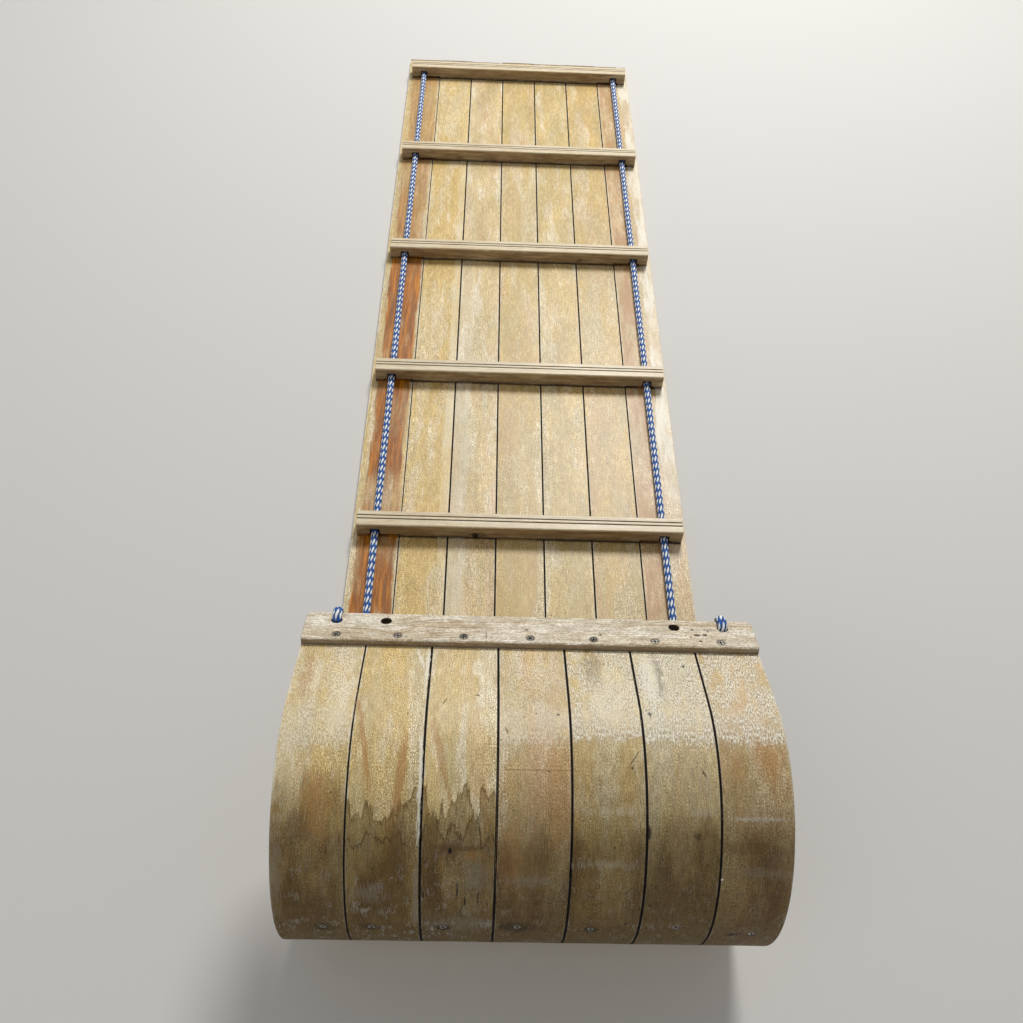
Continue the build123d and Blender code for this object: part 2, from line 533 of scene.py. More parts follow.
def woodGrainGroup():
    takes = {"Board": "Vector", "Seed": 0.0, "Ring Spacing": 5.0, "Heart": 0.0}
    gives = dict.fromkeys(("Figure", "Streak", "Fibre", "Fleck", "Blot", "Cloud"), "Float")
    tree, given, result = newTree("woodGrain", "Shader", takes, gives)
    board = across, along, depth = splitVector(tree, given["Board"])
    seed = given["Seed"]
    sway = grainNoise(board, 160.0, 420.0, seed, 1.0) - 0.5
    fibre = (across + sway * 26.0, along, depth)
    # growth rings, cut nearly flat, so that they run along the board and close in long tongues
    fromHeart = fibre[0] - given["Heart"]
    lengthwise = noise(tree, joinVector(tree, along / 380.0, seed, 2.0), detail=1.0)
    under = depth + 5.0 + lengthwise * 60.0
    radius = (fromHeart * fromHeart + under * under).math("SQRT")
    ripple = grainNoise(fibre, 6.0, 60.0, seed + 1.0) * 0.25
    rings = ((radius / given["Ring Spacing"] + ripple) * (2 * math.pi)).sin()
    feed(result["Figure"], rings.ramp(-0.2, 1.0))
    # every other part runs from 0 to 1 round a half
    feed(result["Streak"], grainNoise(fibre, 2.4, 110.0, seed + 4.0, 3.0).ramp(0.34, 0.66))
    feed(result["Fibre"], grainNoise(fibre, 0.8, 11.0, seed + 8.0).ramp(0.34, 0.66))
    feed(result["Fleck"], grainNoise(fibre, 0.75, 1.7, seed + 12.0, 1.0).ramp(0.33, 0.67))
    feed(result["Blot"], grainNoise(fibre, 5.0, 13.0, seed + 14.0, 4.0, 0.68).ramp(0.34, 0.66))
    feed(result["Cloud"], grainNoise(fibre, 30.0, 100.0, seed + 16.0, 3.0).ramp(0.32, 0.68))
    return tree


def woodMarkGroup():
    # an oval at a place on the board, wandering with the fibres and broken up by them
    takes = {"Board": "Vector", "Sway": 0.0, "Rag": 0.0, "Fibres": 0.0, "Across": 0.0, "Along": 0.0,
             "Half Across": 5.0, "Half Along": 10.0, "Lean": 0.0, "Ragged": 0.3, "Softness": 0.4,
             "Broken": 0.5}
    tree, given, result = newTree("woodMark", "Shader", takes, {"Mask": "Float"})
    across, along, depth = splitVector(tree, given["Board"])
    alongFrom = along - given["Along"]
    sway = given["Sway"] * given["Half Across"].math("MINIMUM", 4.0) * 1.2
    acrossFrom = across - given["Across"] - alongFrom * given["Lean"] + sway
    wide = acrossFrom / given["Half Across"]
    long = alongFrom / given["Half Along"]
    reach = (wide * wide + long * long).math("SQRT") + given["Rag"] * given["Ragged"] * 3.0
    inside = 1.0 - reach + given["Fibres"] * given["Broken"] * 3.6
    feed(result["Mask"], inside.ramp(0.0, given["Softness"]))
    return tree


def woodBandGroup():
    # a strip along the board, its two sides wandering and frayed
    takes = {"Board": "Vector", "Left": -10.0, "Right": 10.0, "Wander": 8.0, "Seed": 0.0}
    tree, given, result = newTree("woodBand", "Shader", takes, {"Mask": "Float"})
    board = splitVector(tree, given["Board"])
    seed = given["Seed"]
    fray = (grainNoise(board, 4.0, 26.0, seed + 3.0, 4.0, 0.6) - 0.5) * 9.0
    sides = []
    for side, offset in ((given["Left"], 0.0), (given["Right"], 5.0)):
        drift = noise(tree, joinVector(tree, board[1] / 150.0, seed + offset, 0.0), detail=3.0) - 0.5
        sides.append(side + drift * given["Wander"] * 2.0 + fray)
    feed(result["Mask"], (board[0] - sides[0]).ramp(-1.2, 1.2) * (sides[1] - board[0]).ramp(-2.5, 2.5))
    return tree


def tideLineGroup():
    # the upper limit of a water stain, with ragged tongues up the fibres and a dark rim
    takes = {"Board": "Vector", "Line": 340.0, "Tongues": 8.0, "Softness": 4.0, "Seed": 0.0}
    tree, given, result = newTree("tideLine", "Shader", takes, {"Below": "Float", "Rim": "Float"})
    across, along, depth = splitVector(tree, given["Board"])
    seed = given["Seed"]
    heights = []
    aside = 0.6
    for offset in (0.0, aside):
        board = (across + offset, along, depth)
        broad = grainNoise(board, 11.0, 140.0, seed, 1.0) - 0.5
        fine = grainNoise(board, 4.4, 60.0, seed + 5.0, 3.0) - 0.5
        heights.append((broad * 3.0 + fine * 2.2) * given["Tongues"])
    above = along - given["Line"] - heights[0]
    feed(result["Below"], (0.5 - above / given["Softness"] * 0.5).between(0.0, 1.0))
    # the rim is as wide beside a tongue as over its tip
    slope = (heights[1] - heights[0]) / aside
    off = above.abs() / (slope * slope + 1.0).math("SQRT")
    rimWidth = grainNoise((across, along, depth), 8.0, 20.0, seed + 9.0).ramp(0.4, 0.65, 0.35, 1.5)
    feed(result["Rim"], (1.0 - off / rimWidth).between(0.0, 1.0))
    return tree


woodGrain = woodGrainGroup()
woodMark = woodMarkGroup()
woodBand = woodBandGroup()
tideLine = tideLineGroup()

# The slats' looks, with a value for each slat from left to right. Places are in millimetres.
slatTones = {
    "Deck Pale": ("straw", "butter", "wheat", "wheat", "wheat", "straw", "straw"),
    "Deck Dark": ("honey", "honey", "blush", "honey", "honey", "honey", "blush"),
    "Curl Pale": ("straw", "straw", "straw", "straw", "straw", "bleached", "straw"),
    "Curl Dark": ("honey", "honey", "honey", "blush", "honey", "straw", "blush"),
}
slatFinishes = {
    "Seed": (3.1, 9.4, 15.2, 21.7, 27.5, 33.9, 39.3),
    "Streaks": (0.45, 0.25, 0.3, 0.35, 0.3, 0.5, 0.45),
    "Clouds": (0.5, 0.7, 0.4, 0.55, 0.5, 0.8, 0.75),
    "Gold": (0.25, 0.4, 0.2, 0.3, 0.3, 0.2, 0.2),
    "Rose": (0.2, 0.0, 0.35, 0.4, 0.2, 0.3, 0.2),
    "Bleach": (0.45, 0.45, 0.6, 0.45, 0.6, 0.36, 0.35),
    "Tide": (350.0, 344.0, 340.0, 350.0, 366.0, 372.0, 386.0),
    "Tongues": (12.0, 22.0, 30.0, 6.0, 6.0, 6.0, 6.0),
    "Tide Softness": (16.0, 1.4, 1.6, 55.0, 60.0, 60.0, 60.0),
    "Tide Rim": (0.25, 1.0, 1.0, 0.0, 0.0, 0.0, 0.0),
    "Second Tide": (316.0, 314.0, 322.0, 310.0, 318.0, 330.0, 322.0),
    "Low": (292.0, 278.0, 292.0, 302.0, 296.0, 302.0, 296.0),      # top of the dark foot
    "Patches": (0.7, 1.0, 1.0, 0.45, 0.5, 0.45, 0.4),
    "Scuffs And Glints": (0.45, 0.12, 0.1, 0.4, 0.9, 1.0, 1.0),
    "Scuff Glint Floor": (384.0, 420.0, 420.0, 388.0, 394.0, 391.0, 392.0),
    "Scuff Glint Top": (505.0, 500.0, 500.0, 500.0, 488.0, 505.0, 515.0),
    "Left Joint": (0.0, 0.7, 1.0, 1.0, 1.0, 1.0, 0.9),
    "Right Joint": (0.7, 1.0, 1.0, 1.0, 1.0, 1.0, 0.0),
}


def slatFinishGroup():
    # the worn varnish of one slat: deck, curl, water stain, scuffs and worn edges, with painted glints on the
    # curl's top and painted shade at the curl's foot and along the bars
    takes = {"Board": "Vector", "Half Width": 28.5, **dict.fromkeys(slatTones, "Color"),
             **{label: values[0] for label, values in slatFinishes.items()}}
    gives = {"Colour": "Color", "Roughness": "Float", "Height": "Float", "Varnish": "Float"}
    tree, given, result = newTree("slatFinish", "Shader", takes, gives)
    board = across, along, depth = splitVector(tree, given["Board"])
    seed = given["Seed"]
    grain = useGroup(tree, woodGrain, {"Board": given["Board"], "Seed": seed, "Ring Spacing": 7.0})
    fleck, fibre, blot, cloud = (grain[part] - 0.5 for part in ("Fleck", "Fibre", "Blot", "Cloud"))
    outside = along.ramp(120.0, 190.0)
    onDeck = 0.0 - along

    def spots(acrossSize, alongSize, offset, detail=2.0, roughness=0.5):
        return grainNoise(board, acrossSize, alongSize, seed + offset, detail, roughness)

    # varnished wood, in two tones for the deck and two for the curl
    tones = (grain["Streak"] * given["Streaks"] + grain["Cloud"] * given["Clouds"]
             + grain["Figure"] * 0.14).between(0.0, 1.0)
    deck = blend(tree, tones, given["Deck Pale"], given["Deck Dark"])
    curl = blend(tree, tones, given["Curl Pale"], given["Curl Dark"])
    paint = Paint(tree, blend(tree, along.ramp(-60.0, 80.0), deck, curl))

    # patches where the varnish is more golden or the wood more red
    gold = spots(24.0, 110.0, 61.0).ramp(0.42, 0.64)
    paint.over(gold * given["Gold"], (210, 177, 108))
    paint.over(spots(17.0, 150.0, 65.0).ramp(0.48, 0.66) * given["Rose"], (208, 172, 136))

    # bleached, worn patches, in long washes and in short ones
    worn = spots(11.0, 46.0, 21.0, 3.0, 0.55).ramp(0.48, 0.64)
    washed = spots(24.0, 200.0, 25.0).ramp(0.44, 0.62)
    bleach = (worn * 0.6 + washed * 0.7 + fibre * 0.14).ramp(0.2, 1.1) * given["Bleach"]
    paint.over(bleach, "bleached")

    # water stain over the lower part of the curl, in two tides and a soft dark foot; the foot and the depth
    # of the stain are partly painted shade
    tide = useGroup(tree, tideLine, {
        "Board": given["Board"], "Line": given["Tide"], "Tongues": given["Tongues"],
        "Softness": given["Tide Softness"], "Seed": seed + 2.0})
    secondTide = useGroup(tree, tideLine, {
        "Board": given["Board"], "Line": given["Second Tide"], "Tongues": given["Tongues"] * 0.7,
        "Softness": 10.0, "Seed": seed + 6.0})
    darkFootAndShade = (given["Low"] - along + cloud * 60.0).ramp(-30.0, 50.0) * outside
    stained = tide["Below"] * outside
    stain = (stained * (blot * 0.16 + cloud * 0.1 + 0.63) + darkFootAndShade * 0.7
             + secondTide["Below"] * outside * (cloud * 0.3 + blot * 0.1 + 0.32))
    rims = (tide["Rim"] + secondTide["Rim"]) * given["Tide Rim"] * outside
    paint.shade(darkFootAndShade * -0.06, (stain + rims) * -1.0)

    # grey weathered patches and black dots in the stain
    greyed = spots(11.0, 20.0, 27.0, 5.0, 0.68).ramp(0.48, 0.66)
    weathered = (greyed - 0.5 + fibre * 0.8 + fleck * 0.5).ramp(0.0, 0.35) * given["Patches"] * outside
    lower = (345.0 - along).ramp(0.0, 70.0) + (262.0 - along).ramp(0.0, 40.0) * 0.8
    paint.over(weathered * lower * 0.55, "slate")
    black = spots(2.2, 6.0, 33.0, 4.0, 0.66).ramp(0.57, 0.68) * stained
    paint.over(black * (darkFootAndShade * 0.5 + 0.2), "grimeAndShade")

    # the fine mottle of fibres and flecks, strongest in the stain; the pale flecks on the deck are partly
    # painted glints of the varnish
    flecksAndGlints = fleck * 0.6 * (gold * 0.5 + washed * 0.3 + 0.6) * (1.2 - stained * 0.2)
    mottle = (flecksAndGlints * along.ramp(-1200.0, -400.0, 0.5, 1.0) + fibre * 0.3
              + blot * (stained * 0.26 + 0.16))
    paint.shade(mottle, cloud * 0.3 + (grain["Streak"] - 0.5) * 0.14)

    # white scuffs and painted glints at the top of the curl, ending in a sharp line
    glintTicks = spots(1.1, 3.2, 37.0, 3.0, 0.7).ramp(0.45, 0.57)
    drift = spots(12.0, 30.0, 41.0, 4.0, 0.66).ramp(0.36, 0.6)
    floorEdge = along - given["Scuff Glint Floor"] - (glintTicks - 0.5) * 3.0 + blot * 9.0
    below = (given["Scuff Glint Top"] - along + (drift - 0.5) * 40.0).ramp(-14.0, 14.0)
    lip = (1.0 - (floorEdge - 5.0).abs() / 8.0).between(0.0, 1.0)
    scuffAndGlintArea = ((drift * 1.1 + lip * 0.8).between(0.0, 1.0) * floorEdge.ramp(-1.5, 1.5) * below
               * given["Scuffs And Glints"])
    scuffAndGlintFlecks = glintTicks * scuffAndGlintArea
    paint.over(scuffAndGlintArea * 0.34, "cream")
    paint.shade(scuffAndGlintArea * (glintTicks - 0.7) * 0.8)
    paint.over(scuffAndGlintFlecks, "chalk")

    # dark pin specks
    pins = put(tree, "ShaderNodeTexVoronoi", {
        "Vector": joinVector(tree, across / 9.0 + seed, along / 13.0, depth / 9.0), "Scale": 1.0})
    pinSize = Wire(put(tree, "ShaderNodeSeparateColor", {0: pins.outputs["Color"]}).outputs[0])
    pin = (pinSize * 0.13 - 0.035 - Wire(pins.outputs["Distance"])).ramp(0.0, 0.02)
    paint.over(pin * 0.8, (66, 46, 28))

    # pale worn edges beside the joints, and black grime in them
    fromEdge = given["Half Width"] - across.abs()
    edgePale = (spots(2.5, 15.0, 45.0, 4.0, 0.6) * 7.4 - 2.2 - fromEdge).ramp(0.0, 0.8)
    edgeTone = blend(tree, stained * 0.8, (238, 228, 204), (150, 140, 124))
    paint.over(edgePale * (0.66 - stained * 0.3), edgeTone)
    joint = (0.0 - across).ramp(0.0, 1.0) * given["Left Joint"] + across.ramp(0.0, 1.0) * given["Right Joint"]
    dirtWidth = joint * along.ramp(-40.0, 60.0, 1.0, 1.05)
    inJoint = joint.ramp(0.0, 0.3) * (dirtWidth - fromEdge).ramp(-0.1, 0.2)
    paint.over(inJoint * 0.98, (20, 13, 8))

    # dirt and painted shade along each bar's foot, a painted contact shadow as a dark line at it, dirt and a
    # painted shadow in front of it, and a dark, frayed tail
    barPitch = bars["spacing"] * 1000
    halfBar = bars["width"] * 500
    toBar = ((bars["firstFront"] + bars["width"] / 2 - slats["bendY"]) * -1000 - along) / barPitch
    pastBar = (toBar - toBar.math("ROUND")) * barPitch
    footFray = spots(14.0, 6.0, 49.0, 3.0)
    underBar = (joint.ramp(0.0, 0.3) + fromEdge.ramp(6.2, 6.8)).math("MINIMUM", 1.0)
    onTop = depth.ramp(5.0, 6.5) * onDeck.ramp(0.0, 20.0) * underBar
    footDirtAndShade = (halfBar + footFray * 7.0 - pastBar.abs()).ramp(-0.8, 2.4) * onTop
    dirtAndShadowInFront = (pastBar + halfBar + 12.0 + footFray * 26.0).ramp(-12.0, 12.0) * (0.0 - pastBar).ramp(0.0, 2.0)
    paint.shade(0.0, dirtAndShadowInFront * onTop * -0.16)
    paint.over(footDirtAndShade * 0.45, (96, 68, 38))
    contactShadow = (halfBar + 1.0 + footFray * 1.2 - pastBar.abs()).ramp(-0.5, 0.5) * onTop
    paint.over(contactShadow * 0.8, (38, 26, 14))
    tail = (onDeck - slats["deckLength"] * 1000 + spots(3.0, 9.0, 53.0, 3.0) * 9.0).ramp(-1.0, 2.0)
    paint.over(tail * 0.75, (84, 62, 40))

    # the running face is scratched and dull
    running = (0.8 - depth).ramp(0.0, 0.6) * (40.0 - along).ramp(0.0, 40.0)
    scratch = spots(0.9, 60.0, 57.0).ramp(0.56, 0.66) * running
    paint.shade(running * -0.3)
    paint.over(scratch * 0.45, "silver")

    rough = (grain["Fleck"] * 0.16 + scuffAndGlintFlecks * 0.3 + stained * 0.16 + bleach * 0.12 + running * 0.25
             + inJoint * 0.5)
    varnish = 0.3 - scuffAndGlintFlecks - stained * 0.25 - bleach * 0.2 - running - inJoint
    height = (grain["Fibre"] * 0.4 + grain["Fleck"] * 0.5 + grain["Blot"] * 0.4 + scuffAndGlintFlecks * 0.3 - pin * 0.8
              - black * 0.6 - scratch * 0.4)
    feed(result["Colour"], paint.colour)
    feed(result["Roughness"], (rough + 0.38).between(0.2, 0.95))
    feed(result["Varnish"], varnish.between(0.0, 1.0))
    feed(result["Height"], height)
    return tree


slatFinish = slatFinishGroup()


def mark(colour, amount, at, size, lean=0.0, ragged=0.4, soft=0.45, broken=0.6):
    # an oval spot, with its middle and its half sizes across and along the board
    values = {"Across": at[0], "Along": at[1], "Half Across": size[0] * 1.3, "Half Along": size[1] * 1.3,
              "Lean": lean, "Ragged": ragged, "Softness": soft, "Broken": broken}
    return colour, amount, values


def addMarks(paint, place, marks, where):
    # paints each mark over the colour, only where the mask "where" is
    tree = paint.tree
    board = splitVector(tree, place)
    shared = {"Sway": grainNoise(board, 40.0, 16.0, 30.0) - 0.5,
              "Rag": grainNoise(board, 3.0, 14.0, 31.0, 4.0, 0.6) - 0.5,
              "Fibres": grainNoise(board, 0.9, 9.0, 35.0, 3.0, 0.6) - 0.5}
    for colour, amount, values in marks:
        mask = useGroup(tree, woodMark, {"Board": place, **shared, **values})["Mask"]
        paint.over(mask * where * amount, colour)


# bands along the deck, each strongest before it fades, ends and breaks into patches
slatBands = {
    1: [
        {"Left": -19, "Right": 24, "Wander": 10, "Seed": 1.0, "tone": "heart", "amount": 1.4,
         "patchy": 0.5, "streaky": 1.2, "faded": (-1250, -650, 0.3), "end": -500},
        {"Left": -21, "Right": 25, "Wander": 9, "Seed": 5, "tone": "heart", "amount": 1.3,
         "patchy": 0.5, "streaky": 1.2, "faded": (-440, -370, 0.15), "end": -90},
    ],
    2: [
        {"Left": 18, "Right": 40, "Wander": 8, "Seed": 12, "tone": "cream", "amount": 0.6,
         "patchy": 0.6, "faded": (-1600, -500, 0.3), "end": -360},
    ],
    3: [
        {"Left": -40, "Right": -8, "Wander": 9, "Seed": 15, "tone": "bleached", "amount": 0.6,
         "patchy": 0.6, "faded": (-1300, -350, 0.3), "end": -60},
    ],
    4: [
        {"Left": -40, "Right": 20, "Wander": 10, "Seed": 18, "tone": "honey", "amount": 0.6,
         "patchy": 0.6, "faded": (-800, -300, 0.3), "end": -60},
    ],
    7: [
        {"Left": 11, "Right": 40, "Wander": 14, "Seed": 4, "tone": "chalk", "amount": 0.9,
         "patchy": 0.8, "faded": (-1600, -1500, 0.3), "end": -480},
        {"Left": -26, "Right": -3, "Wander": 10, "Seed": 9, "tone": "amber", "amount": 0.75,
         "patchy": 0.9, "faded": (-1600, -1500, 0.3), "end": -150},
    ],
}
slatMarks = {
    1: [
        mark("amber", 0.35, (-16, 456), (5, 26)),
        mark("amber", 0.45, (6, 342), (10, 26)),
        mark("umber", 0.5, (-8, 322), (9, 12)),
        mark("slate", 0.4, (-24.5, 290), (5, 30), broken=0.9),
        mark("cream", 0.42, (16, 414), (11, 24), broken=1.2),
        mark("bleached", 0.3, (-20, 384), (7, 44), broken=1.1),
        mark("grimeAndShade", 0.5, (9.3, 224), (7, 6)),
    ],
    2: [
        mark("amber", 0.6, (-19, 388), (2, 44), lean=-0.2, ragged=0.3, broken=0.5),
        mark("amber", 0.65, (11.5, 362), (3.6, 30), lean=0.08, ragged=0.3, broken=0.5),
        mark("chalk", 0.8, (27, 356), (1.3, 42), broken=0.7),
        mark("chalk", 0.7, (26.6, 470), (1.4, 30), broken=0.9),
        mark("chalk", 0.7, (20, 486), (1.6, 12), lean=-0.3, broken=0.9),
        mark("umber", 0.45, (12, 312), (8, 24)),
        mark("slate", 0.4, (-10, 268), (12, 8), broken=0.9),
        mark("slate", 0.6, (25.5, 262), (2, 28), broken=0.9),
        mark("grimeAndShade", 0.5, (-9.8, 225), (8, 5)),
    ],
    3: [
        mark("amber", 0.5, (-16, 378), (3, 34), lean=-0.25, ragged=0.3, broken=0.6),
        mark("umber", 0.7, (-6.2, 306), (7, 8), broken=0.8),
        mark("umber", 0.6, (0.0, 308), (20, 2.6), ragged=0.9),
        mark("grimeAndShade", 1.0, (-6.2, 306), (1.3, 2.1), ragged=0.2, soft=0.2, broken=0.1),
        mark("amber", 0.5, (12.3, 302), (6.5, 3.4), ragged=0.8),
        mark("grimeAndShade", 0.95, (-0.2, 272), (0.7, 8), soft=0.6, broken=0.2),
        mark("grimeAndShade", 0.9, (16, 266), (0.6, 7), soft=0.6, broken=0.2),
        mark("grimeAndShade", 0.9, (6, 260), (0.6, 5), soft=0.6),
        mark("grimeAndShade", 0.9, (-26, 268), (0.6, 5), soft=0.6),
        mark("slate", 0.35, (14, 284), (9, 12), broken=1.0),
        mark("slate", 0.35, (2, 232), (24, 12), broken=1.0),
        mark("umber", 0.8, (-14.7, 430), (0.8, 3.6), lean=0.4),
        mark("umber", 0.9, (11.7, 438), (1.7, 0.9)),
        mark("grimeAndShade", 0.8, (-10.9, 226), (6, 4)),
    ],
    4: [
        mark("umber", 0.5, (4, 368), (26, 0.5)),
        mark("umber", 0.8, (-22, 400), (0.8, 3), lean=-0.4),
        mark("grimeAndShade", 0.85, (19.5, 417), (1.1, 1.1)),
        mark("amber", 0.3, (18, 350), (9, 40)),
        mark("amber", 0.3, (-18, 300), (9, 26)),
        mark("slate", 0.35, (-2, 282), (20, 4), ragged=0.8, broken=1.0),
        mark("grimeAndShade", 0.6, (-10, 228), (13, 8), ragged=0.7),
    ],
    5: [
        mark("umber", 0.4, (-6, 474), (7, 22), ragged=0.7, broken=1.0),
        mark("cream", 0.3, (4, 436), (16, 28), ragged=0.8, broken=1.3),
        # a pale band across the slat, a painted sheen of the varnish
        mark("bleached", 0.3, (2, 338), (25, 4), ragged=0.9, soft=1.0, broken=1.0),
        mark("silver", 0.25, (0.0, 297), (27, 3.5), ragged=0.9, soft=1.0, broken=1.0),
        mark("grimeAndShade", 0.8, (20, 378), (0.5, 6), lean=0.7),
        mark("grimeAndShade", 0.85, (18.2, 371), (1.0, 1.5)),
        mark("grimeAndShade", 0.7, (-9.1, 226), (6, 4)),
    ],
    6: [
        mark("slate", 0.7, (-8.2, 468), (3, 26), broken=1.0),
        mark("chalk", 0.5, (-16, 462), (6, 28), ragged=0.7, broken=1.0),
        mark("grimeAndShade", 0.85, (15.2, 482), (1.5, 1.6)),
        mark("grimeAndShade", 0.8, (-21.7, 420), (1.6, 2.6), ragged=0.8),
        mark("grimeAndShade", 0.85, (16.5, 368), (0.8, 2.2), lean=-0.4),
        mark("grimeAndShade", 0.5, (10.6, 320), (2.4, 3), ragged=0.6),
        # a pale band across the slat, a painted sheen of the varnish
        mark("silver", 0.25, (16, 338), (12, 3.2), ragged=0.9, soft=1.0, broken=1.0),
        mark("grimeAndShade", 0.9, (-27.4, 322), (1.8, 5), broken=0.1),
    ],
    7: [
        mark("amber", 0.4, (10, 380), (10, 15), ragged=0.6),
        mark("amber", 0.3, (-14, 372), (6, 12), ragged=0.6),
        # a pale band across the slat, a painted sheen of the varnish
        mark("silver", 0.45, (0.0, 334), (27, 1.6), ragged=0.7, soft=0.8, broken=1.0),
        mark("slate", 0.35, (0.0, 292), (27, 5), ragged=0.7, soft=1.0, broken=1.0),
        mark("umber", 0.4, (-12, 312), (22, 5)),
        mark("chalk", 0.9, (-26.6, 286), (1.0, 1.0), broken=0.0),
        mark("grimeAndShade", 0.7, (5.7, 222), (4, 3)),
        mark("grimeAndShade", 0.8, (-10, 221), (6, 2.4), ragged=0.8),
    ],
}


def addBand(paint, place, halfWidth, strip):
    tree = paint.tree
    board = across, along, depth = splitVector(tree, place)
    sides = {label: strip[label] for label in ("Left", "Right", "Wander", "Seed")}
    mask = useGroup(tree, woodBand, {"Board": place, **sides})["Mask"]
    streaks = grainNoise(board, 2.6, 50.0, strip["Seed"], 5.0, 0.66).ramp(0.34, 0.66)
    patches = grainNoise(board, 16.0, 70.0, strip["Seed"] + 7.0, 4.0, 0.6)
    ended = (strip["end"] - along).ramp(-120.0, 0.0)
    within = (halfWidth - 0.9 - across.abs()).ramp(0.0, 0.8)
    faded = along.ramp(*strip["faded"], 1.0) * patches.ramp(0.35, 0.6, 1.0 - strip["patchy"], 1.0)
    strength = (mask * ended * within * (streaks * 0.3 + 0.7) * faded * strip["amount"]).between(0.0, 1.0)
    paint.over(strength, strip["tone"])
    if "streaky" in strip:
        paint.shade(strength * (streaks - 0.5) * strip["streaky"])


def slatMaterial(number):
    constants = {"Specular IOR Level": 0.3, "Coat Roughness": 0.34}
    material, tree, shader = newMaterial(f"slatWood{number}", constants)
    place = boardPlace(tree)
    halfWidth = slatWidth(number) * 500
    values = {"Board": place, "Half Width": halfWidth}
    values.update({label: linear(names[number - 1]) for label, names in slatTones.items()})
    values.update({label: numbers[number - 1] for label, numbers in slatFinishes.items()})
    finish = useGroup(tree, slatFinish, values)
    paint = Paint(tree, finish["Colour"])
    for strip in slatBands.get(number, ()):
        addBand(paint, place, halfWidth, strip)
    across, along, depth = splitVector(tree, place)
    addMarks(paint, place, slatMarks[number], along.ramp(150.0, 151.0))
    outputs = {"Base Color": paint.colour, "Roughness": finish["Roughness"], "Coat Weight": finish["Varnish"]}
    finishShader(shader, outputs, finish["Height"], 0.0004, 0.7)
    return material


# Boards

slatShape = slatGroup()
for number, fit in slatFits.items():
    values = {"Width": slatWidth(number), "Deck Length": slats["deckLength"] - fit["trim"],
              "Center X": slatMiddle(number), "Deck Shift": fit["shift"], "Material": slatMaterial(number)}
    board = grow(f"slatBoard{number}", slatShape, {**values, **screwsOf(number)}, tidyNormals=True)
    finishPiece(board, "slat_wood", f"slat_{number}")


def screwRowGroup():
    # all the screws of one slat
    takes = {"Center X": 0.0, "Deck Shift": 0.0, "Sunk": screws["sunk"], **placeTakes, **bendTakes}
    tree, given, result = newTree("slatScrews", "Geometry", takes, {"Mesh": "Geometry"})
    places = useGroup(tree, screwPlaces, {label: given[label] for label in placeTakes})["Points"]
    loose = shape(tree, "RealizeInstances", {"Geometry": scatterHeads(tree, places, given["Seed"])})
    feed(result["Mesh"], putOnSled(tree, given, loose, given["Sunk"]))
    return tree


def deckScrewsGroup():
    row = screwRowGroup()
    takes = {"Material": "Material"}
    tree, given, result = newTree("deckScrews", "Geometry", takes, {"Geometry": "Geometry"})
    joined = shape(tree, "JoinGeometry")
    for number, fit in slatFits.items():
        values = {"Center X": slatMiddle(number), "Deck Shift": fit["shift"], **screwsOf(number)}
        feed(joined.inputs[0], useGroup(tree, row, values)["Mesh"])
    return closeTree(tree, result, joined, given["Material"])


def screwSteelMaterial():
    # dull zinc, with dirt in the recess and round the rim, and rust spots
    material, tree, shader = newMaterial("screwSteel", {"Metallic": 0.45})
    place = put(tree, "ShaderNodeTexCoord").outputs["Object"]
    cloud = noise(tree, place, 420.0, 3.0)
    tarnish = noise(tree, place, 1400.0)
    x, y, depth = splitVector(tree, put(tree, "ShaderNodeAttribute", attribute_name="head").outputs["Vector"])
    radius = (x * x + y * y).math("SQRT")
    recess = depth.ramp(0.0001, 0.0004)
    rim = radius.ramp(screws["headRadius"] * 0.55, screws["headRadius"] * 0.9)
    paint = Paint(tree, blend(tree, cloud.ramp(0.4, 0.65), (214, 210, 200), (142, 134, 120)))
    paint.over(tarnish.ramp(0.58, 0.68) * 0.7, (112, 74, 44))
    paint.over((recess * 0.9 + rim * 0.86).between(0.0, 0.95), (40, 31, 22))
    outputs = {"Base Color": paint.colour, "Roughness": tarnish * 0.3 + recess * 0.3 + 0.22}
    finishShader(shader, outputs, tarnish, 0.0001, 0.5)
    return material


screwSteel = screwSteelMaterial()
finishPiece(grow("deckScrews", deckScrewsGroup(), {"Material": screwSteel}))


# Crossbars, cleat and nose batten: the CAD solids with their sharp edges eased

easing = {"bar": 0.0007, "cleat": 0.0006, "batten": 0.0003, "sharpest": math.radians(40)}


def easedCopy(name, node, ease, gauge, drill=None):
    # gauge turns a point into the board's own (across, along, depth); drill cuts screw seats
    form = bmesh.new()
    form.from_mesh(frame["nodes"][node].data)
    bmesh.ops.remove_doubles(form, verts=form.verts, dist=0.00001)
    bmesh.ops.dissolve_limit(form, angle_limit=math.radians(1), verts=form.verts, edges=form.edges)
    mesh = bpy.data.meshes.new(name)
    form.to_mesh(mesh)
    form.free()
    host = bpy.data.objects.new(name + "Host", mesh)
    scene.collection.objects.link(host)
    bevel = host.modifiers.new("ease", "BEVEL")
    bevel.width = ease
    bevel.segments = 2
    bevel.limit_method = "ANGLE"
    bevel.angle_limit = easing["sharpest"]
    if drill:
        host.modifiers.new("seats", "NODES").node_group = drill
    mesh.shade_smooth()
    host.modifiers.new("normals", "WEIGHTED_NORMAL")
    piece = plainMesh(name, host)
    board = piece.data.attributes.new("board", "FLOAT_VECTOR", "POINT")
    for vertex, place in zip(piece.data.vertices, board.data):
        place.vector = gauge(vertex.co)
    return piece


